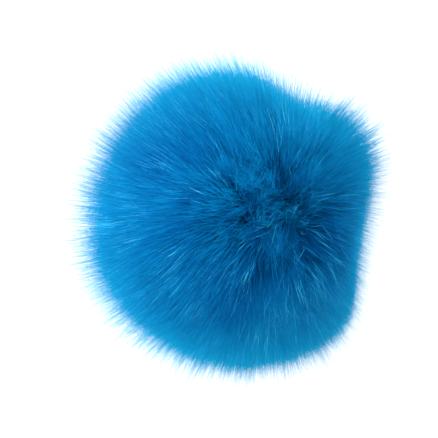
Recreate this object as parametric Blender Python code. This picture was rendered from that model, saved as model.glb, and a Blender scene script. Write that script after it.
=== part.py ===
"""A long-pile faux fur pom pom, one solid that rests on a small flat spot.

Metres, +Z up. The origin is the middle of the flat spot, on the surface that carries the ball.
Azimuths are counted from +X towards +Y, and elevations from the ball's equator up.
The fur is packed into a ball round its knot. From there it stands out in 300 locks, each with
three sides and a point. They part at the top, lean away from there, and are shorter where the
ball lies on them.
"""

import math
import random
from collections import namedtuple

import bmesh
import bpy
from mathutils import Vector

MM = 0.001

# The ball
CORE_RADIUS = 35 * MM        # the fur packed round the knot, where no lock can be told from the next
MIDDLE_HEIGHT = 43 * MM      # from the surface that it rests on to the ball's middle
PILE_REACH = 55 * MM         # from the ball's middle to the points of the locks
CORE_SWELL = 0.5             # how much of a swelling of the pile is already in the packed fur
BALL_SUBDIVISIONS = 3        # 320 faces: the lowest 20 make the foot, and 300 carry a lock each
FOOT_FACES = 20
FOOT_RADIUS = 14 * MM        # the pile under the ball, pressed flat by its weight
FACE_SCATTER = 0.035         # the corners' random shift, as a share of the core's radius
SCATTER_SEED = 11

# A lock
ROOT_INSET = 0.012           # from a face's edge to its lock's root, as a share of the core's radius
RAGGED = 0.5                 # how far a point may wander from its lock's middle towards a corner
SHORTEST_LOCK = 0.84         # as a share of the pile's depth
LEAN_CURVE = 1.35            # over 1, a lock starts upright and leans more towards its point
LENGTH_SEED = 5
LENGTHS = "length"           # the name under which each face keeps its lock's length
SHARP_EDGE = math.radians(40)  # a lock's three edges look sharp, and each side bends smoothly

# The width of a lock at a height in the pile, each as a share of the whole
LockSection = namedtuple("LockSection", "height width")
LOCK_SECTIONS = (
    LockSection(height=0.42, width=0.90),
    LockSection(height=0.76, width=0.62),
)

# Where the ball's outline swells or is drawn in
Swelling = namedtuple("Swelling", "azimuth elevation spread rise")
SWELLINGS = {
    "upper right tuft": Swelling(azimuth=38, elevation=6, spread=17, rise=7.0 * MM),
    "notch beside the tuft": Swelling(azimuth=66, elevation=4, spread=13, rise=-5.0 * MM),
    "long pile on the left": Swelling(azimuth=160, elevation=0, spread=52, rise=2.2 * MM),
    "lower right tuft": Swelling(azimuth=303, elevation=4, spread=20, rise=2.6 * MM),
    "drawn-in right side": Swelling(azimuth=348, elevation=6, spread=24, rise=-9.0 * MM),
}

# Where the pile parts: its hair leans away from here, most at the spread and less beyond it
Parting = namedtuple("Parting", "azimuth elevation spread lean")
PARTINGS = {
    "whorl": Parting(azimuth=50, elevation=80, spread=48, lean=0.30),
    "gather beside it": Parting(azimuth=0, elevation=54, spread=30, lean=0.16),
    "resting spot": Parting(azimuth=0, elevation=-90, spread=35, lean=0.10),
}

FUR_COLOUR = (0.003, 0.20, 0.53, 1.0)
FUR_ROUGHNESS = 0.6


def clear_objects():
    """Start from an empty scene."""
    for obj in list(bpy.data.objects):
        bpy.data.objects.remove(obj, do_unlink=True)


def new_collection(name):
    """A collection linked to the scene."""
    collection = bpy.data.collections.new(name)
    bpy.context.scene.collection.children.link(collection)
    return collection


def fur_material():
    """Bright blue acrylic pile."""
    material = bpy.data.materials.new("blue_pile")
    material.use_nodes = True
    shader = material.node_tree.nodes["Principled BSDF"]
    shader.inputs["Base Color"].default_value = FUR_COLOUR
    shader.inputs["Roughness"].default_value = FUR_ROUGHNESS
    shader.inputs["Metallic"].default_value = 0.0
    return material


def towards(azimuth, elevation):
    """The unit direction from the ball's middle at these angles in degrees."""
    level = math.cos(math.radians(elevation))
    return Vector((
        level * math.cos(math.radians(azimuth)),
        level * math.sin(math.radians(azimuth)),
        math.sin(math.radians(elevation)),
    ))


def swell(direction):
    """How much further out than PILE_REACH the pile stands this way."""
    total = 0.0
    for row in SWELLINGS.values():
        away = direction.angle(towards(row.azimuth, row.elevation))
        total += row.rise * math.exp(-((away / math.radians(row.spread)) ** 2))
    return total


def lean(direction):
    """The sideways turn, in radians, of the points of the locks that grow this way."""
    total = Vector((0.0, 0.0, 0.0))
    for row in PARTINGS.values():
        parting = towards(row.azimuth, row.elevation)
        away = direction.angle(parting)
        sideways = direction * math.cos(away) - parting
        if sideways.length < 1e-6:
            continue
        share = away / math.radians(row.spread)
        total += sideways.normalized() * row.lean * share * math.exp(0.5 * (1 - share ** 2))
    return total


def pile_point(direction, height):
    """A point of the pile that grows this way.

    The height is 0 on the packed fur and 1 at the pile's outside, which is level on the floor.
    """
    leaning = (direction + lean(direction) * height ** LEAN_CURVE).normalized()
    inner = CORE_RADIUS + CORE_SWELL * swell(leaning)
    outer = PILE_REACH + swell(leaning)
    if leaning.z < 0:
        outer = min(outer, -MIDDLE_HEIGHT / leaning.z)
    return Vector((0, 0, MIDDLE_HEIGHT)) + leaning * (inner + (outer - inner) * height)


def unit_ball(bm):
    """A ball of triangles with its corners a little scattered, but for those of the foot."""
    bmesh.ops.create_icosphere(bm, subdivisions=BALL_SUBDIVISIONS, radius=1.0)
    faces = sorted(bm.faces, key=lambda face: face.calc_center_median().z)
    foot = faces[:FOOT_FACES]
    foot_corners = {corner for face in foot for corner in face.verts}
    chance = random.Random(SCATTER_SEED)
    for corner in bm.verts:
        shift = Vector([chance.gauss(0, FACE_SCATTER) for _ in range(3)])
        if corner not in foot_corners:
            corner.co = (corner.co + shift).normalized()
    return foot, faces[FOOT_FACES:]


def raise_locks(bm, faces):
    """Draw each face out into a lock: through its sections and on to a point.

    While it works, each corner stays on the unit ball, where it gives the direction that it
    grows in, and places gathers where it belongs in the end.
    """
    places = {corner: pile_point(corner.co.normalized(), 0.0) for corner in bm.verts}
    bmesh.ops.inset_individual(bm, faces=faces, thickness=ROOT_INSET, use_even_offset=True)
    chance = random.Random(LENGTH_SEED)
    lengths = bm.faces.layers.float[LENGTHS]
    for face in faces:
        face[lengths] = chance.uniform(SHORTEST_LOCK, 1.0)
        for corner in face.verts:
            places[corner] = pile_point(corner.co.normalized(), 0.0)
    tops = faces
    for section in LOCK_SECTIONS:
        tops = bmesh.ops.extrude_discrete_faces(bm, faces=tops)["faces"]
        for top in tops:
            middle = top.calc_center_median()
            for corner in top.verts:
                way = middle.lerp(corner.co, section.width).normalized()
                places[corner] = pile_point(way, section.height * top[lengths])
    for top in tops:
        middle = top.calc_center_median()
        aside = chance.choice(top.verts[:]).co
        length = top[lengths]
        point = bmesh.ops.poke(bm, faces=[top])["verts"][0]
        way = middle.lerp(aside, chance.uniform(0.0, RAGGED)).normalized()
        places[point] = pile_point(way, length)
    return places


def press_foot(bm, faces, places):
    """Press the pile under the ball into one round flat spot, with its middle at the origin."""
    result = bmesh.ops.extrude_face_region(bm, geom=faces)
    soles = [item for item in result["geom"] if isinstance(item, bmesh.types.BMFace)]
    bmesh.ops.delete(bm, geom=faces, context="FACES")
    sole = bmesh.ops.dissolve_faces(bm, faces=soles, use_verts=True)["region"][0]
    for corner in sole.verts:
        places[corner] = (corner.co.xy.normalized() * FOOT_RADIUS).to_3d()


def make_fur_ball(collection):
    """The whole pom pom: packed fur, its foot and its locks, as one closed body."""
    bm = bmesh.new()
    bm.faces.layers.float.new(LENGTHS)
    foot, growing = unit_ball(bm)
    places = raise_locks(bm, growing)
    press_foot(bm, foot, places)
    for corner in bm.verts:
        corner.co = places[corner]
    mesh = bpy.data.meshes.new("fur_ball")
    bm.to_mesh(mesh)
    bm.free()
    mesh.shade_smooth()
    mesh.set_sharp_from_angle(angle=SHARP_EDGE)
    mesh.materials.append(fur_material())
    ball = bpy.data.objects.new("fur_ball", mesh)
    collection.objects.link(ball)
    return ball


def build():
    """Build the pom pom."""
    clear_objects()
    make_fur_ball(new_collection("pom_pom"))


build()
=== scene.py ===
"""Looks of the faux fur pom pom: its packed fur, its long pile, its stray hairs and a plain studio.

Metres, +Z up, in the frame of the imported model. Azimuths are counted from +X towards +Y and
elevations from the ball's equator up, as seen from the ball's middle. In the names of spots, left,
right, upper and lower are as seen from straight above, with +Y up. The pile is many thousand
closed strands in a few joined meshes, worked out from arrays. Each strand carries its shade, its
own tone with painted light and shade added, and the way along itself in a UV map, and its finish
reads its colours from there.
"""

from __future__ import annotations

import logging
import math
from dataclasses import dataclass
from enum import Enum

import bpy
import numpy as np
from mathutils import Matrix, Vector


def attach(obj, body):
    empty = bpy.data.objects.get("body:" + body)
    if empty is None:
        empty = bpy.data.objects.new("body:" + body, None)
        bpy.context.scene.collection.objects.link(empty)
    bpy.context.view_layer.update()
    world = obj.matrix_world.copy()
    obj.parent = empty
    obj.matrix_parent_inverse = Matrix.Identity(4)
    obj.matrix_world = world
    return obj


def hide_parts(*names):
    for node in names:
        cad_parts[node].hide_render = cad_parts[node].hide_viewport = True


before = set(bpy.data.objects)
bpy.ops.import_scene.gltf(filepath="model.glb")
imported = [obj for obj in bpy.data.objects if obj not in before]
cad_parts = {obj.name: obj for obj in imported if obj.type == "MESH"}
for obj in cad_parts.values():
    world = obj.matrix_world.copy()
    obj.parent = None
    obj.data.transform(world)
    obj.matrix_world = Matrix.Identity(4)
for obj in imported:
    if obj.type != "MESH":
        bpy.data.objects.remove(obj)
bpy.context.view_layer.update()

MM = 0.001
BODY = "root"
NODE = "fur_ball"
STRAND_MAP = "Strand"
BAKE_MAP = "OFBake"
MIX_COLOURS = (6, 7)        # where the Mix node takes its two colours
MIX_RESULT = 2              # and where it gives the mixed one
TINY = 1e-12                # no vector is divided by less
LOG = logging.getLogger("pom_pom")

Colour = tuple[float, float, float]
Place = tuple[float, float, float]


def unit(vectors: np.ndarray) -> np.ndarray:
    """Give rows of vectors a length of one.

    Args:
        vectors: Rows of three numbers.

    Returns:
        The same rows, each of length one.
    """
    return vectors / np.maximum(np.linalg.norm(vectors, axis=-1, keepdims=True), TINY)


def nearest(directions: np.ndarray, centres: np.ndarray, batch: int = 4000) -> np.ndarray:
    """Find each direction's nearest centre.

    Args:
        directions: Rows of unit vectors.
        centres: Rows of unit vectors.
        batch: About how many directions are compared at a time, to spare memory.

    Returns:
        The number of a centre for each direction.
    """
    parts = np.array_split(directions.astype(np.float32), 1 + len(directions) // batch)
    return np.concatenate([(part @ centres.T.astype(np.float32)).argmax(1) for part in parts])


def fit_out(piece: bpy.types.Object, material: bpy.types.Material) -> None:
    """Give a piece its finish, tie it to the model and report it.

    Args:
        piece: A piece of the pom pom.
        material: Its finish.
    """
    piece.data.materials.append(material)
    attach(piece, BODY)
    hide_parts(NODE)
    LOG.info("%s: %d faces", piece.name, len(piece.data.polygons))


@dataclass(frozen=True)
class Spot:
    """A place on the ball, as seen from its middle, in degrees.

    Attributes:
        name: What is there, said for the reader.
        azimuth: From +X towards +Y.
        elevation: From the equator up.
        spread: The angle over which its effect fades.
    """

    name: str
    azimuth: float
    elevation: float
    spread: float

    @property
    def axis(self) -> np.ndarray:
        """The unit vector from the ball's middle to the spot."""
        level = math.cos(math.radians(self.elevation))
        return np.array([
            level * math.cos(math.radians(self.azimuth)),
            level * math.sin(math.radians(self.azimuth)),
            math.sin(math.radians(self.elevation)),
        ])

    def shares(self, directions: np.ndarray) -> np.ndarray:
        """Measure directions against the spread.

        Args:
            directions: Rows of unit vectors.

        Returns:
            Each row's angle from the spot, as a share of the spread.
        """
        away = np.arccos(np.clip(directions @ self.axis, -1.0, 1.0))
        return away / math.radians(self.spread)

    def bump(self, directions: np.ndarray) -> np.ndarray:
        """Give the spot's effect: 1 at the spot, and nearly 0 at twice its spread."""
        return np.exp(-self.shares(directions) ** 2)


@dataclass(frozen=True)
class Change(Spot):
    """A spot where some measure of the pile rises or falls.

    Attributes:
        amount: How much it rises there, or falls if the amount is below zero.
    """

    amount: float = 0.0

    def added(self, directions: np.ndarray) -> np.ndarray:
        """Give the change in these directions."""
        return self.amount * self.bump(directions)


@dataclass(frozen=True)
class Parting(Spot):
    """A spot that the hair leans away from, or towards if the lean is below zero.

    Attributes:
        lean: The lean at the spot's spread, where it is greatest, in radians.
    """

    lean: float = 0.0

    def leaning(self, directions: np.ndarray) -> np.ndarray:
        """Work out the lean of hair.

        Args:
            directions: Rows of unit vectors in which hair grows.

        Returns:
            Rows of vectors across those directions, as long as the lean in radians.
        """
        axis = self.axis
        sideways = directions * (directions @ axis)[:, None] - axis
        share = self.shares(directions)
        size = self.lean * share * np.exp(0.5 * (1.0 - share ** 2))
        return unit(sideways) * size[:, None]


@dataclass(frozen=True)
class BallForm:
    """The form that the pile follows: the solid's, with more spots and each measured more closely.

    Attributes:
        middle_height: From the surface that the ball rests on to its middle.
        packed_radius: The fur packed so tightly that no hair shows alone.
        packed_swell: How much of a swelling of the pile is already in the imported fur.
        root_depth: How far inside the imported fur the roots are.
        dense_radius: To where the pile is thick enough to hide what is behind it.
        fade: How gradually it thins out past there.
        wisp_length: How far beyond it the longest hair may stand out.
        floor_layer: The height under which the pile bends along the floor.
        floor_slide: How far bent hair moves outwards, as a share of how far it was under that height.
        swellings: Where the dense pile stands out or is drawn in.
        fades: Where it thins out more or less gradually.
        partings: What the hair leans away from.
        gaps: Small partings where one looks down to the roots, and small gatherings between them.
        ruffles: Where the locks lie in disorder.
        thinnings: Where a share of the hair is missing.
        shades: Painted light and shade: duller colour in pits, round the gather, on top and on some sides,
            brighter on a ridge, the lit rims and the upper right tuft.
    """

    middle_height: float = 43 * MM
    packed_radius: float = 35 * MM
    packed_swell: float = 0.5
    root_depth: float = 1.0 * MM
    dense_radius: float = 46.9 * MM
    fade: float = 2.4 * MM
    wisp_length: float = 24 * MM
    floor_layer: float = 7 * MM
    floor_slide: float = 0.35
    swellings: tuple[Change, ...] = (
        Change("upper right tuft", 36, 6, 18, amount=6.5 * MM),
        Change("lower side of that tuft", 19, 4, 12, amount=1.4 * MM),
        Change("notch beside that tuft", 66, 4, 13, amount=-6.2 * MM),
        Change("upper left side", 150, 0, 46, amount=-2.8 * MM),
        Change("left side", 178, 0, 36, amount=-1.7 * MM),
        Change("lower left side", 225, 0, 26, amount=-2.0 * MM),
        Change("lower side", 275, 0, 24, amount=2.8 * MM),
        Change("lower right tuft", 312, 4, 24, amount=4.9 * MM),
        Change("corner of the lower right tuft", 317, 4, 10, amount=1.1 * MM),
        Change("drawn-in right side", 346, 6, 23, amount=-5.6 * MM),
        Change("upper side", 92, 0, 28, amount=2.0 * MM),
        Change("hollow of the gather", 0, 56, 16, amount=-2.5 * MM),
    )
    fades: tuple[Change, ...] = (
        Change("long pile on the left", 180, 0, 52, amount=2.1 * MM),
        Change("longest pile", 178, 0, 20, amount=1.7 * MM),
        Change("long pile on the upper left", 132, 0, 30, amount=1.4 * MM),
        Change("even lower side", 275, 0, 24, amount=-0.7 * MM),
        Change("upper right tuft", 38, 6, 22, amount=1.6 * MM),
        Change("even right side", 345, 10, 40, amount=-1.6 * MM),
    )
    partings: tuple[Parting, ...] = (
        Parting("whorl", 50, 69, 37, lean=0.26),
        Parting("middle of the whorl", 50, 69, 9, lean=-0.05),
        Parting("gather", 5, 48, 10, lean=0.13),
        Parting("lower flow", 295, 18, 51, lean=0.18),
        Parting("left flow", 170, 55, 31, lean=0.16),
        Parting("flow of the upper right tuft", 37, 10, 40, lean=0.27),
        Parting("resting spot", 0, -90, 35, lean=0.10),
    )
    gaps: tuple[Parting, ...] = (
        Parting("pit above the gather", 37, 56, 5.0, lean=0.05),
        Parting("deepest pit below the gather", 349.5, 52, 5.0, lean=0.11),
        Parting("pit to the left of the gather", 324, 73, 4.5, lean=0.09),
        Parting("pit to the right of the gather", 358, 42, 3.5, lean=0.07),
        Parting("lowest pit", 331, 54, 4.0, lean=0.07),
        Parting("pit just above the right one", 7, 41, 4.0, lean=0.06),
        Parting("locks over the gather", 16, 58, 7.0, lean=-0.06),
        Parting("ridge between the pits", 28, 73, 7.0, lean=-0.07),
    )
    ruffles: tuple[Change, ...] = (
        Change("gather", 350, 52, 26, amount=1.0),
        Change("whorl", 58, 71, 18, amount=0.8),
    )
    thinnings: tuple[Change, ...] = (
        Change("left side", 178, 5, 48, amount=0.44),
        Change("rim of the left side", 179, 0, 15, amount=0.40),
        Change("upper left side", 122, 0, 30, amount=0.36),
        Change("lower left side", 232, 0, 20, amount=0.25),
    )
    # painted light and shade: darker colour in the pits, round the gather, on top and on shaded sides,
    # lighter on a ridge, the lit rims and the upper right tuft
    shades: tuple[Change, ...] = (
        Change("pit above the gather", 37, 58, 8, amount=-0.02),
        Change("deepest pit below the gather", 350, 54, 7, amount=-0.06),
        Change("pit to the left of the gather", 324, 73, 5, amount=-0.08),
        Change("ridge between the pits", 26, 73, 8, amount=0.08),
        Change("pit to the right of the gather", 358, 43, 5, amount=-0.10),
        Change("lowest pit", 331, 55, 5, amount=-0.10),
        Change("round the gather", 352, 38, 30, amount=-0.15),
        Change("right of the gather", 10, 36, 20, amount=-0.12),
        Change("top", 60, 85, 48, amount=-0.07),
        Change("upper left shoulder", 130, 55, 24, amount=-0.19),
        Change("right side", 355, 0, 24, amount=-0.17),
        Change("lower right shoulder", 316, 24, 14, amount=-0.08),
        Change("lower side", 270, 15, 34, amount=0.38),
        Change("upper right tuft", 44, 16, 23, amount=0.52),
        Change("lower shoulder", 272, 60, 26, amount=-0.22),
        Change("upper side", 100, 8, 30, amount=0.18),
        Change("left side", 182, 0, 34, amount=0.15),
    )

    @property
    def middle(self) -> np.ndarray:
        """The ball's middle."""
        return np.array([0.0, 0.0, self.middle_height])

    def total(self, changes: tuple[Change, ...], directions: np.ndarray) -> np.ndarray:
        """Add up changes in these directions."""
        return sum(change.added(directions) for change in changes)

    def leaning(self, directions: np.ndarray) -> np.ndarray:
        """Add up the lean of hair that grows in these directions."""
        return sum(parting.leaning(directions) for parting in (*self.partings, *self.gaps))

    def settled(self, points: np.ndarray) -> np.ndarray:
        """Bend what would go through the floor along it.

        Args:
            points: Rows of places.

        Returns:
            The rows, none of them under the floor.
        """
        below = np.maximum(self.floor_layer - points[..., 2], 0.0)
        outward = unit(points * np.array([1.0, 1.0, 0.0]))
        moved = points + outward * (self.floor_slide * below)[..., None]
        pressed = self.floor_layer * np.exp(-below / self.floor_layer)
        moved[..., 2] = np.where(below > 0.0, pressed, points[..., 2])
        return moved


@dataclass(frozen=True, kw_only=True)
class Finish:
    """What every finish has.

    Attributes:
        name: The material's name.
        roughness: Of the surface.
        gloss: The specular level.
    """

    name: str
    roughness: float
    gloss: float

    def blank(self) -> tuple[bpy.types.Material, bpy.types.Node]:
        """Start the finish.

        Returns:
            A material, and its shader with the roughness and gloss set.
        """
        material = bpy.data.materials.new(self.name)
        material.use_nodes = True
        shader = material.node_tree.nodes["Principled BSDF"]
        shader.inputs["Roughness"].default_value = self.roughness
        shader.inputs["Specular IOR Level"].default_value = self.gloss
        return material, shader


@dataclass(frozen=True, kw_only=True)
class MottledFinish(Finish):
    """Two colours that run into each other in soft mottles.

    Attributes:
        low: The first colour.
        high: The second colour.
        stops: Where along the noise's strength each one is reached.
        scale: How many mottles there are to a metre, roughly.
        detail: How finely they break up.
    """

    low: Colour
    high: Colour
    stops: tuple[float, float]
    scale: float
    detail: float

    def material(self) -> bpy.types.Material:
        """Make the finish.

        Returns:
            A material whose pattern is fixed to the piece.
        """
        material, shader = self.blank()
        nodes, links = material.node_tree.nodes, material.node_tree.links
        place = nodes.new("ShaderNodeTexCoord")
        noise = nodes.new("ShaderNodeTexNoise")
        noise.inputs["Scale"].default_value = self.scale
        noise.inputs["Detail"].default_value = self.detail
        ramp = nodes.new("ShaderNodeValToRGB")
        for element, stop, colour in zip(ramp.color_ramp.elements, self.stops, (self.low, self.high)):
            element.position = stop
            element.color = (*colour, 1.0)
        links.new(place.outputs["Object"], noise.inputs["Vector"])
        links.new(noise.outputs["Fac"], ramp.inputs["Fac"])
        links.new(ramp.outputs["Color"], shader.inputs["Base Color"])
        return material


@dataclass(frozen=True, kw_only=True)
class PileFinish(Finish):
    """The colour of the pile: two ramps of colour along a strand, mixed by its shade, which holds painted
    light and shade as well as its own tone.

    Attributes:
        deep: The colours of a dull strand from root to point, near black at the root as painted shade deep
            in the pile.
        bright: The colours of a bright strand from root to point, also darker at the root as painted shade.
        stops: Where along the strand those colours lie.
        gloss_tint: The colour of its highlights.
        sheen: The soft light that the pile scatters at a slant.
        sheen_roughness: How widely it scatters that.
        sheen_tint: The colour of that light.
    """

    deep: tuple[Colour, ...]
    bright: tuple[Colour, ...]
    stops: tuple[float, ...] = (0.0, 0.35, 0.7, 1.0)
    roughness: float = 0.5
    gloss: float = 0.03
    gloss_tint: Colour = (0.0, 0.4, 1.0)
    sheen: float = 0.78
    sheen_roughness: float = 0.5
    sheen_tint: Colour = (0.015, 0.58, 0.87)

    def ramp(self, nodes: bpy.types.Nodes, colours: tuple[Colour, ...]) -> bpy.types.Node:
        """Make one colour ramp.

        Args:
            nodes: The material's nodes.
            colours: One colour for each stop.

        Returns:
            The ramp's node.
        """
        node = nodes.new("ShaderNodeValToRGB")
        elements = node.color_ramp.elements
        while len(elements) < len(colours):
            elements.new(0.5)
        for element, stop, colour in zip(elements, self.stops, colours):
            element.position = stop
            element.color = (*colour, 1.0)
        return node

    def material(self) -> bpy.types.Material:
        """Make the finish.

        Returns:
            A material that reads a strand's shade and its way along from the strand's map.
        """
        material, shader = self.blank()
        shader.inputs["Specular Tint"].default_value = (*self.gloss_tint, 1.0)
        shader.inputs["Sheen Weight"].default_value = self.sheen
        shader.inputs["Sheen Roughness"].default_value = self.sheen_roughness
        shader.inputs["Sheen Tint"].default_value = (*self.sheen_tint, 1.0)
        nodes, links = material.node_tree.nodes, material.node_tree.links
        place = nodes.new("ShaderNodeUVMap")
        place.uv_map = STRAND_MAP
        split = nodes.new("ShaderNodeSeparateXYZ")
        links.new(place.outputs["UV"], split.inputs["Vector"])
        mix = nodes.new("ShaderNodeMix")
        mix.data_type = "RGBA"
        links.new(split.outputs["X"], mix.inputs["Factor"])
        for socket, colours in zip(MIX_COLOURS, (self.deep, self.bright)):
            ramp = self.ramp(nodes, colours)
            links.new(split.outputs["Y"], ramp.inputs["Fac"])
            links.new(ramp.outputs["Color"], mix.inputs[socket])
        links.new(mix.outputs[MIX_RESULT], shader.inputs["Base Color"])
        return material


# The pile's blue; both ramps fall to near black at the root, painted shade deep in the pile
PILE_FINISH = PileFinish(
    name="blue_pile",
    deep=((0.0003, 0.003, 0.018), (0.0003, 0.010, 0.06), (0.0004, 0.045, 0.21), (0.0006, 0.090, 0.35)),
    bright=((0.0004, 0.010, 0.06), (0.0008, 0.085, 0.31), (0.002, 0.33, 0.72), (0.010, 0.59, 0.90)),
)
# pale strands: partly the pile's own lighter fibres, partly painted highlights, glossy streaks and rim
# light put in as pale colour
LIGHT_FINISH = PileFinish(
    name="light_blue_hair_and_painted_highlights",
    deep=((0.0004, 0.01, 0.05), (0.0008, 0.08, 0.26), (0.003, 0.26, 0.60), (0.01, 0.42, 0.85)),
    bright=((0.0004, 0.02, 0.08), (0.003, 0.19, 0.44), (0.04, 0.53, 0.87), (0.13, 0.75, 0.98)),
)
# near-black blue of the packed fur: painted shade deep in the pile, with a random mottle
PACKED_SHADE_FINISH = MottledFinish(
    name="packed_blue_painted_shade",
    low=(0.0008, 0.006, 0.03),
    high=(0.001, 0.025, 0.10),
    stops=(0.35, 0.7),
    scale=420.0,
    detail=4.0,
    roughness=0.8,
    gloss=0.1,
)
FLOOR_FINISH = MottledFinish(
    name="pale_floor",
    low=(0.93, 0.93, 0.93),
    high=(0.95, 0.95, 0.95),
    stops=(0.0, 1.0),
    scale=8.0,
    detail=2.0,
    roughness=0.9,
    gloss=0.0,
)


@dataclass(frozen=True)
class StrandKind:
    """One kind of hair in the pile.

    Attributes:
        name: The kind's name, for its pieces.
        count: How many there are on the whole ball.
        heights: Where the rings of a strand lie between its root and its point.
        widths: The strand's thickness at those rings, in metres.
        shortest: The lowest share of the thinning edge that a point reaches.
        longest: The highest such share.
        waviness: How far a strand wanders from its neighbours, in radians at its point.
        clumping: How much its points gather into locks.
        family: How many strands stand together and share a shade.
        family_spread: How far they stand from the family's middle, in radians.
        glint: How much painted glint it carries, as a share of the most.
        seed: Of its chances.
        evenly: The share of the fullest growth that grows everywhere.
        crowds: Where more of it grows, up to a share of one, or less.
    """

    name: str
    count: int
    heights: tuple[float, ...]
    widths: tuple[float, ...]
    shortest: float
    longest: float
    waviness: float
    clumping: float
    family: int
    family_spread: float
    glint: float
    seed: int
    evenly: float = 1.0
    crowds: tuple[Change, ...] = ()


LONG_HAIR = StrandKind(
    name="long_pile",
    count=31500,
    heights=(0.0, 0.55),
    widths=(0.32 * MM, 0.24 * MM),
    shortest=-2.6,
    longest=1.2,
    waviness=0.045,
    clumping=0.13,
    family=4,
    family_spread=0.011,
    glint=0.0,
    seed=101,
)
FINE_HAIR = StrandKind(
    name="fine_pile",
    count=111500,
    heights=(0.0,),
    widths=(0.29 * MM,),
    shortest=-1.8,
    longest=2.2,
    waviness=0.07,
    clumping=0.015,
    family=2,
    family_spread=0.011,
    glint=0.0,
    seed=404,
)
STRAY_HAIR = StrandKind(
    name="stray_hair",
    count=42000,
    heights=(0.0,),
    widths=(0.11 * MM,),
    shortest=0.6,
    longest=8.2,
    waviness=0.10,
    clumping=0.0,
    family=1,
    family_spread=0.0,
    glint=0.0,
    seed=202,
)
LIGHT_HAIR = StrandKind(
    name="light_hair_and_painted_glints",
    count=4000,
    heights=(0.0, 0.6),
    widths=(0.22 * MM, 0.20 * MM),
    shortest=-0.6,
    longest=1.0,
    waviness=0.035,
    clumping=0.10,
    family=9,
    family_spread=0.040,
    glint=0.9,
    seed=303,
    evenly=0.28,
    # more pale strands on the left, upper and lower rims as painted rim light and where glossy streaks lie
    # as painted highlights; fewer at the whorl
    crowds=(
        Change("lower shoulder", 244, 57, 8, amount=0.7),
        Change("lower left shoulder", 220, 50, 9, amount=0.6),
        Change("upper shoulder", 92, 30, 14, amount=0.4),
        Change("high on the upper left", 138, 50, 12, amount=0.4),
        Change("lower right shoulder", 317, 40, 14, amount=0.5),
        Change("below the gather", 340, 48, 18, amount=0.4),
        Change("left side", 187, 20, 22, amount=0.8),
        Change("lower left side", 215, 15, 18, amount=0.6),
        Change("upper left side", 130, 12, 26, amount=0.6),
        Change("upper left shoulder", 120, 34, 16, amount=0.4),
        Change("lower side", 288, 22, 14, amount=0.5),
        Change("whorl", 50, 70, 18, amount=-0.30),
    ),
)


class Region(Enum):
    """Which part of the pile a joined mesh holds, from the floor up."""

    SKIRT = 0
    LOWER = 1
    UPPER = 2
    CROWN = 3


@dataclass(frozen=True)
class Varied:
    """A measure of the hair that changes where the locks lie in disorder.

    Attributes:
        calm: The measure where the pile lies smooth.
        more: What a full ruffle adds to it.
    """

    calm: float
    more: float

    def over(self, ruffle: np.ndarray) -> np.ndarray:
        """Give the measure where the pile is ruffled this much."""
        return self.calm + self.more * ruffle


@dataclass(frozen=True)
class Gathering:
    """The locks and tufts that every kind of hair shares.

    Attributes:
        locks: The directions of the small locks, as rows of unit vectors.
        tufts: The directions of the wider tufts.
        lock_shade: How much brighter each lock is, with a spread of one.
        lock_pull: How strongly each lock gathers its strands, up to one.
        tuft_shade: How much brighter each tuft is.
        tuft_lean: Which way each tuft leans of its own.
    """

    locks: np.ndarray
    tufts: np.ndarray
    lock_shade: np.ndarray
    lock_pull: np.ndarray
    tuft_shade: np.ndarray
    tuft_lean: np.ndarray

    @classmethod
    def drawn(cls, chance: np.random.Generator, locks: int, tufts: int, least_pull: float) -> Gathering:
        """Draw locks and tufts by chance.

        Args:
            chance: The source of chance.
            locks: How many locks there are.
            tufts: How many tufts there are.
            least_pull: How strongly the loosest lock gathers its strands.

        Returns:
            The locks and tufts.
        """
        return cls(
            locks=unit(chance.normal(size=(locks, 3))),
            tufts=unit(chance.normal(size=(tufts, 3))),
            lock_shade=chance.normal(size=locks),
            lock_pull=chance.uniform(least_pull, 1.0, size=locks),
            tuft_shade=chance.normal(size=tufts),
            tuft_lean=chance.normal(size=(tufts, 3)),
        )


@dataclass(frozen=True)
class Grown:
    """Strands that have grown.

    Attributes:
        places: The middles of the rings and the points, strand by strand.
        normals: Which way the pile faces there.
        shade: Each strand's shade, from 0 to 1: its own tone, with painted light, shade and glints added.
        directions: The directions in which they grow.
    """

    places: np.ndarray
    normals: np.ndarray
    shade: np.ndarray
    directions: np.ndarray

    def part(self, inside: np.ndarray) -> Grown:
        """Take some of the strands."""
        return Grown(self.places[inside], self.normals[inside], self.shade[inside], self.directions[inside])


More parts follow.
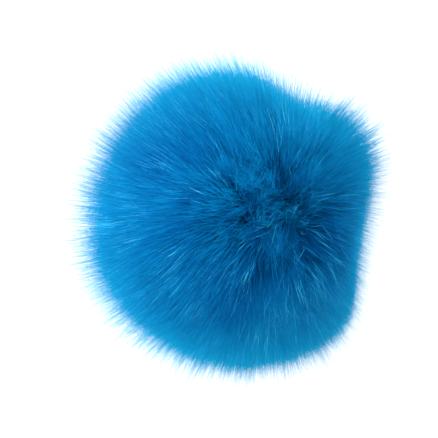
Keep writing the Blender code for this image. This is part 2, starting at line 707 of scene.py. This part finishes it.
@dataclass(frozen=True)
class StrandMesh:
    """Strands joined into one mesh, each a closed tube of three sides that ends in a point.

    Attributes:
        kind: The kind of hair.
        grown: The strands.
        evenness: How much a strand is shaded as the pile is, and not as a round fibre.
        sides: How many sides a strand has.
        shade_column: The width that one strand takes up on the map.
        map_edge: What is left free at the edge of the map.
        map_span: How much of the map the shades and the strands' lengths run over.
    """

    kind: StrandKind
    grown: Grown
    evenness: float
    sides: int = 3
    shade_column: float = 4 / 1024
    map_edge: float = 0.005
    map_span: float = 0.985

    def faces(self) -> list[tuple[int, ...]]:
        """List the faces of one strand.

        Returns:
            Its sides, those of its point and its root's end, each as the numbers of its vertices.
        """
        sides = range(self.sides)
        after = [(side + 1) % self.sides for side in sides]
        faces: list[tuple[int, ...]] = []
        low = 0
        for _ in self.kind.heights[1:]:
            high = low + self.sides
            faces += [(low + side, low + after[side], high + after[side], high + side) for side in sides]
            low = high
        point = low + self.sides
        faces += [(low + side, low + after[side], point) for side in sides]
        faces.append(tuple(reversed(sides)))
        return faces

    def around(self) -> np.ndarray:
        """Find which way each vertex of each ring lies from the ring's middle.

        Returns:
            Unit vectors by strand, ring and side.
        """
        places = self.grown.places
        rings = len(self.kind.heights)
        along = unit(np.gradient(places, axis=1))
        across = np.random.default_rng(len(places)).normal(size=(len(places), 1, 3))
        first = unit(across - (across * along).sum(-1, keepdims=True) * along)[:, :rings]
        second = np.cross(along[:, :rings], first)
        turn = np.arange(self.sides) * math.tau / self.sides
        return np.cos(turn)[:, None] * first[:, :, None] + np.sin(turn)[:, None] * second[:, :, None]

    def shaped(self) -> tuple[np.ndarray, np.ndarray]:
        """Lay out the vertices.

        Returns:
            The places of each strand's vertices, and which way they face.
        """
        places, facing = self.grown.places, self.grown.normals
        rings = len(self.kind.heights)
        strands = (len(places), rings * self.sides, 3)
        around = self.around()
        radius = 0.5 * np.array(self.kind.widths)[None, :, None, None]
        tube = (places[:, :rings, None] + around * radius).reshape(strands)
        points = np.concatenate([tube, places[:, rings:]], axis=1)
        round_share = (1.0 - self.evenness) * around.reshape(strands)
        pile_share = self.evenness * np.repeat(facing[:, :rings], self.sides, axis=1)
        return points, np.concatenate([round_share + pile_share, facing[:, rings:]], axis=1)

    def mapped(self) -> np.ndarray:
        """Place each vertex of every strand on the strand's map.

        Returns:
            The map's two coordinates: the shade, and the way from root to point.
        """
        half = 0.5 * self.shade_column
        spots = [
            (side * half, height + self.shade_column * (side == 1))
            for height in self.kind.heights
            for side in range(self.sides)
        ]
        spots.append((half, 1.0))
        shade = self.grown.shade
        shades = np.stack([shade, np.zeros(len(shade))], axis=1)
        return (self.map_edge + self.map_span * (np.array(spots)[None] + shades[:, None])).reshape(-1, 2)

    def build(self, name: str) -> bpy.types.Object:
        """Join the strands.

        Args:
            name: The piece's name.

        Returns:
            The piece.
        """
        points, normals = self.shaped()
        count, size = points.shape[:2]
        faces = self.faces()
        corners = np.array([corner for face in faces for corner in face])
        loops = (corners[None] + (np.arange(count) * size)[:, None]).ravel()
        totals = np.tile(np.array([len(face) for face in faces]), count)
        starts = np.concatenate([[0], np.cumsum(totals)[:-1]])
        mesh = bpy.data.meshes.new(name)
        mesh.vertices.add(count * size)
        mesh.vertices.foreach_set("co", points.astype(np.float32).ravel())
        mesh.loops.add(len(loops))
        mesh.loops.foreach_set("vertex_index", loops.astype(np.int32))
        mesh.polygons.add(len(totals))
        mesh.polygons.foreach_set("loop_start", starts.astype(np.int32))
        mesh.polygons.foreach_set("use_smooth", np.ones(len(totals), dtype=bool))
        mesh.update(calc_edges=True)
        spots = self.mapped()[loops].astype(np.float32).ravel()
        for layer_name in (STRAND_MAP, BAKE_MAP):
            mesh.uv_layers.new(name=layer_name).uv.foreach_set("vector", spots)
        mesh.uv_layers.active = mesh.uv_layers[STRAND_MAP]
        mesh.validate()
        mesh.normals_split_custom_set_from_vertices(unit(normals.reshape(-1, 3)))
        piece = bpy.data.objects.new(name, mesh)
        bpy.context.scene.collection.objects.link(piece)
        return piece


@dataclass
class Pile:
    """The hair of one kind, grown on the ball.

    Attributes:
        form: The form that it follows.
        kind: The kind of hair.
        equator_growth: How fully it grows at the equator, where one or more is as full as can be.
        growth_rise: How much more fully it grows at the top than there, and less at the bottom.
        least_growth: How fully it grows where it is thinnest.
        gathering_seed: Of the chances that all kinds of hair share.
        lock_count: How many small locks its points gather into.
        tuft_count: How many wider tufts there are, each leaning its own way where it is ruffled.
        least_pull: How strongly the loosest lock gathers its strands.
        tuft_pull: How strongly the tufts gather theirs.
        tuft_lean: How far a tuft leans of its own, in radians.
        drift_lean: How far the pile wanders in wide waves, in radians.
        drift_waves: How many waves add up to that.
        drift_pitch: How tight they are, in radians of phase to a radian of the ball, times chance.
        straying: How much of the kind's waviness shows at the points.
        bending: How much of it shows halfway along a strand.
        lean_curve: Over one, a strand starts upright and leans more towards its point.
        rarity: Over one, the longest stray hairs are few.
        base_shade: The shade of the most ordinary strand.
        group_shade: How much locks and tufts differ in shade.
        family_shade: How much families differ.
        strand_shade: How much the strands of one family differ.
        glint_shade: What a glint of one adds.
        shade_range: The dullest and the brightest shade.
        evenness: How much a strand is shaded as the pile is, and not as a round fibre.
        most_faces: With more faces than this, the kind is split into regions.
    """

    form: BallForm
    kind: StrandKind
    equator_growth: float = 1.25
    growth_rise: float = 0.9
    least_growth: float = 0.3
    gathering_seed: int = 7
    lock_count: int = 5200
    tuft_count: int = 2200
    least_pull: float = 0.2
    tuft_pull: Varied = Varied(0.05, 0.55)
    tuft_lean: Varied = Varied(0.01, 0.09)
    drift_lean: Varied = Varied(0.03, 0.05)
    drift_waves: int = 7
    drift_pitch: float = 6.0
    straying: Varied = Varied(0.75, -0.22)
    bending: Varied = Varied(0.3, 0.2)
    lean_curve: float = 1.3
    rarity: float = 1.8
    base_shade: float = 0.40
    group_shade: Varied = Varied(0.05, 0.07)
    family_shade: float = 0.06
    strand_shade: float = 0.03
    glint_shade: float = 0.4
    shade_range: tuple[float, float] = (0.02, 0.99)
    evenness: float = 0.75
    most_faces: int = 110000

    def scattered(self, chance: np.random.Generator, count: int) -> np.ndarray:
        """Scatter directions evenly over the ball, fewer of them where it lies on the floor.

        Args:
            chance: The source of chance.
            count: How many directions are wanted.

        Returns:
            Rows of unit vectors.
        """
        form, kind = self.form, self.kind
        tries = int(2 * count / kind.evenly)
        directions = unit(chance.normal(size=(tries, 3)))
        fullness = self.equator_growth + directions[:, 2] * self.growth_rise
        share = np.clip(fullness, self.least_growth, 1.0)
        share *= 1.0 - form.total(form.thinnings, directions)
        share *= np.minimum(kind.evenly + form.total(kind.crowds, directions), 1.0)
        keep = chance.random(tries) < share
        return directions[keep][:count]

    def drift(self, directions: np.ndarray, chance: np.random.Generator) -> np.ndarray:
        """Make a smooth random drift over the ball, so that neighbours wander together.

        Args:
            directions: Rows of unit vectors.
            chance: The source of chance.

        Returns:
            Rows of vectors of about unit size.
        """
        total = np.zeros_like(directions)
        for _ in range(self.drift_waves):
            along = chance.normal(size=3) * self.drift_pitch
            phase = chance.random() * math.tau
            total += np.sin(directions @ along + phase)[:, None] * unit(chance.normal(size=3))
        return total / math.sqrt(self.drift_waves)

    def reaches(self, chance: np.random.Generator, count: int) -> np.ndarray:
        """Draw how far points reach, as shares of the thinning edge.

        Args:
            chance: The source of chance.
            count: How many strands there are.

        Returns:
            A share for each strand.
        """
        shortest, longest = self.kind.shortest, self.kind.longest
        reach = chance.normal(size=count).clip(shortest, longest)
        if shortest > 0:
            reach = shortest + (longest - shortest) * chance.random(count) ** self.rarity
        return reach

    def courses(
        self, grown: np.ndarray, lean: np.ndarray, bend: np.ndarray, reach: np.ndarray,
    ) -> tuple[np.ndarray, np.ndarray]:
        """Lay each strand from its root to its point.

        Args:
            grown: The directions in which the strands grow.
            lean: How far their points lean, in radians.
            bend: How far they bend aside halfway along.
            reach: How far the points reach, as a share of the thinning edge.

        Returns:
            The middles of the rings and the points, and the ways to them from the ball's middle.
        """
        form = self.form
        tip = unit(grown + lean)
        swell = form.total(form.swellings, tip)
        inner = form.packed_radius - form.root_depth + form.packed_swell * swell
        beyond = (form.fade + form.total(form.fades, tip)) * reach
        beyond = form.wisp_length * np.tanh(beyond / form.wisp_length)
        outer = form.dense_radius + swell + beyond
        places, ways = [], []
        for height in np.array([*self.kind.heights, 1.0]):
            leant = lean * height ** self.lean_curve
            way = unit(grown + leant + bend * math.sin(height * math.pi))
            far = inner + (outer - inner) * height
            ways.append(way)
            places.append(form.middle + way * far[:, None])
        return form.settled(np.stack(places, axis=1)), np.stack(ways, axis=1)

    def grow(self) -> Grown:
        """Grow every strand.

        Returns:
            The strands.
        """
        form, kind = self.form, self.kind
        chance = np.random.default_rng(kind.seed)
        shared = np.random.default_rng(self.gathering_seed)
        group = Gathering.drawn(shared, self.lock_count, self.tuft_count, self.least_pull)
        homes = np.repeat(self.scattered(chance, kind.count // kind.family), kind.family, axis=0)
        grown = unit(homes + kind.family_spread * chance.normal(size=homes.shape))
        lock, tuft = nearest(grown, group.locks), nearest(grown, group.tufts)

        ruffle = form.total(form.ruffles, grown)
        lean = form.leaning(grown)
        lean += (group.locks[lock] - grown) * (kind.clumping * group.lock_pull[lock])[:, None]
        lean += (group.tufts[tuft] - grown) * self.tuft_pull.over(ruffle)[:, None]
        lean += group.tuft_lean[tuft] * self.tuft_lean.over(ruffle)[:, None]
        lean += self.drift(grown, shared) * self.drift_lean.over(ruffle)[:, None]
        lean += chance.normal(size=grown.shape) * (kind.waviness * self.straying.over(ruffle))[:, None]
        bend = chance.normal(size=grown.shape) * (kind.waviness * self.bending.over(ruffle))[:, None]
        places, ways = self.courses(grown, lean, bend, self.reaches(chance, len(grown)))

        # the strands' own tone differs at random by tuft, lock, family and strand; the glint adds painted
        # highlights and the form's shades add painted light and shade
        family = np.repeat(chance.normal(size=len(grown) // kind.family), kind.family)
        groups = group.tuft_shade[tuft] + group.lock_shade[lock]
        shade = self.base_shade + self.group_shade.over(ruffle) * groups + self.family_shade * family
        shade += (
            self.strand_shade * chance.normal(size=len(grown))
            + self.glint_shade * kind.glint
            + form.total(form.shades, grown)
        )
        return Grown(places, ways, shade.clip(*self.shade_range), grown)

    def build(self) -> list[bpy.types.Object]:
        """Grow the strands and join them, region by region.

        Returns:
            The pieces.
        """
        grown = self.grow()
        whole = StrandMesh(self.kind, grown, self.evenness)
        if len(grown.shade) * len(whole.faces()) <= self.most_faces:
            return [whole.build(self.kind.name)]
        rank = np.argsort(np.argsort(grown.directions[:, 2]))
        quarter = rank * len(Region) // len(rank)
        pieces = []
        for region in Region:
            part = StrandMesh(self.kind, grown.part(quarter == region.value), self.evenness)
            pieces.append(part.build(f"{self.kind.name}_{region.name.lower()}"))
        return pieces

    def dress(self, pieces: list[bpy.types.Object], material: bpy.types.Material) -> None:
        """Give the pieces their finish and tie them to the model.

        Args:
            pieces: The joined meshes.
            material: The pile's finish.
        """
        for piece in pieces:
            fit_out(piece, material)


@dataclass
class PackedFur:
    """The fur so tightly packed that it hides the knot, seen only as depth between hairs and coloured near
    black as painted shade.

    Attributes:
        form: The form that it follows.
        subdivisions: How finely its ball is divided.
        furrows: How many waves its surface is made of.
        furrow_pitch: How tight they are, in radians of phase to a radian of the ball, times chance.
        furrow_depth: How far one wave rises and falls.
        seed: Of its chances.
    """

    form: BallForm
    subdivisions: int = 6
    furrows: int = 24
    furrow_pitch: float = 26
    furrow_depth: float = 0.12 * MM
    seed: int = 5

    def build(self) -> bpy.types.Object:
        """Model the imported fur.

        Returns:
            The piece.
        """
        bpy.ops.object.select_all(action="DESELECT")
        bpy.ops.mesh.primitive_ico_sphere_add(subdivisions=self.subdivisions, radius=1.0)
        piece = bpy.context.object
        piece.name = "packed_fur"
        piece.data.name = "packed_fur"
        mesh = piece.data
        ways = np.empty(len(mesh.vertices) * 3)
        mesh.vertices.foreach_get("co", ways)
        ways = unit(ways.reshape(-1, 3))
        chance = np.random.default_rng(self.seed)
        furrow = np.zeros(len(ways))
        for _ in range(self.furrows):
            along = chance.normal(size=3) * self.furrow_pitch
            furrow += np.sin(ways @ along + chance.random() * math.tau)
        swell = self.form.total(self.form.swellings, ways)
        far = self.form.packed_radius + self.form.packed_swell * swell + furrow * self.furrow_depth
        places = self.form.settled(self.form.middle + ways * far[:, None])
        mesh.vertices.foreach_set("co", places.ravel())
        mesh.update()
        bpy.ops.object.shade_smooth()
        return piece

    def dress(self, piece: bpy.types.Object) -> None:
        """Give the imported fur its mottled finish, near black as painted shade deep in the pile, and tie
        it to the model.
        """
        fit_out(piece, PACKED_SHADE_FINISH.material())


@dataclass(frozen=True)
class Softbox:
    """A square soft light.

    Attributes:
        name: The light's name.
        place: Where it hangs.
        side: The length of its side.
        watts: Its power.
    """

    name: str
    place: Place
    side: float
    watts: float

    def hang(self, target: Vector) -> None:
        """Hang the light.

        Args:
            target: What it faces.
        """
        data = bpy.data.lights.new(self.name, "AREA")
        data.shape = "SQUARE"
        data.size = self.side
        data.energy = self.watts
        light = bpy.data.objects.new(self.name, data)
        bpy.context.scene.collection.objects.link(light)
        light.location = self.place
        light.rotation_mode = "QUATERNION"
        light.rotation_quaternion = (target - light.location).to_track_quat("-Z", "Y")


@dataclass
class Studio:
    """A pale floor, soft light all round and a camera straight above the ball.

    Attributes:
        form: The ball's form, for its middle.
        floor_side: The length of the floor's side.
        glow: The strength of the white light from all round.
        softboxes: The lights, the strongest on the upper left.
        frame_width: What the picture's width spans at the height of the ball's middle.
        camera_distance: From the camera to the ball's middle.
        aim: Where the camera points, beside the ball's middle.
        sensor_width: Of the camera, in millimetres.
        nearest_seen: How near the camera sees.
    """

    form: BallForm
    floor_side: float = 12.0
    glow: float = 1.25
    softboxes: tuple[Softbox, ...] = (
        Softbox("key_light", place=(-0.80, 0.30, 0.62), side=0.7, watts=14.0),
        Softbox("fill_light", place=(0.50, 0.55, 0.7), side=0.8, watts=4.6),
        Softbox("front_light", place=(0.0, -0.8, 0.7), side=0.8, watts=3.2),
    )
    frame_width: float = 146 * MM
    camera_distance: float = 0.9
    aim: tuple[float, float] = (-5.0 * MM, 0.5 * MM)
    sensor_width: float = 36.0
    nearest_seen: float = 0.05

    def build(self) -> None:
        """Make the floor, the light and the camera."""
        self.floor()
        self.lights()
        self.camera()

    def floor(self) -> None:
        """Lay a pale floor."""
        bpy.ops.object.select_all(action="DESELECT")
        bpy.ops.mesh.primitive_plane_add(size=self.floor_side)
        floor = bpy.context.object
        floor.name = "floor"
        floor.data.materials.append(FLOOR_FINISH.material())

    def lights(self) -> None:
        """Light the ball softly from all round, most from the upper left."""
        world = bpy.data.worlds.new("studio")
        bpy.context.scene.world = world
        world.use_nodes = True
        background = world.node_tree.nodes["Background"]
        background.inputs["Color"].default_value = (1.0, 1.0, 1.0, 1.0)
        background.inputs["Strength"].default_value = self.glow
        for softbox in self.softboxes:
            softbox.hang(Vector(self.form.middle))

    def camera(self) -> None:
        """Set the camera straight above, looking down, with +Y up in the picture."""
        data = bpy.data.cameras.new("camera")
        data.sensor_width = self.sensor_width
        data.lens = self.sensor_width * self.camera_distance / self.frame_width
        data.clip_start = self.nearest_seen
        camera = bpy.data.objects.new("camera", data)
        bpy.context.scene.collection.objects.link(camera)
        camera.location = (*self.aim, self.form.middle_height + self.camera_distance)
        bpy.context.scene.camera = camera
        bpy.context.scene.view_settings.view_transform = "Standard"


def main() -> None:
    """Build the pom pom's looks piece by piece, then the studio."""
    logging.basicConfig(level=logging.INFO, format="%(message)s")
    form = BallForm()
    packed = PackedFur(form)
    packed.dress(packed.build())
    blue, light = PILE_FINISH.material(), LIGHT_FINISH.material()
    kinds = {LONG_HAIR: blue, FINE_HAIR: blue, STRAY_HAIR: blue, LIGHT_HAIR: light}
    for kind, material in kinds.items():
        pile = Pile(form, kind)
        pile.dress(pile.build(), material)
    Studio(form).build()


if __name__ == "__main__":
    main()
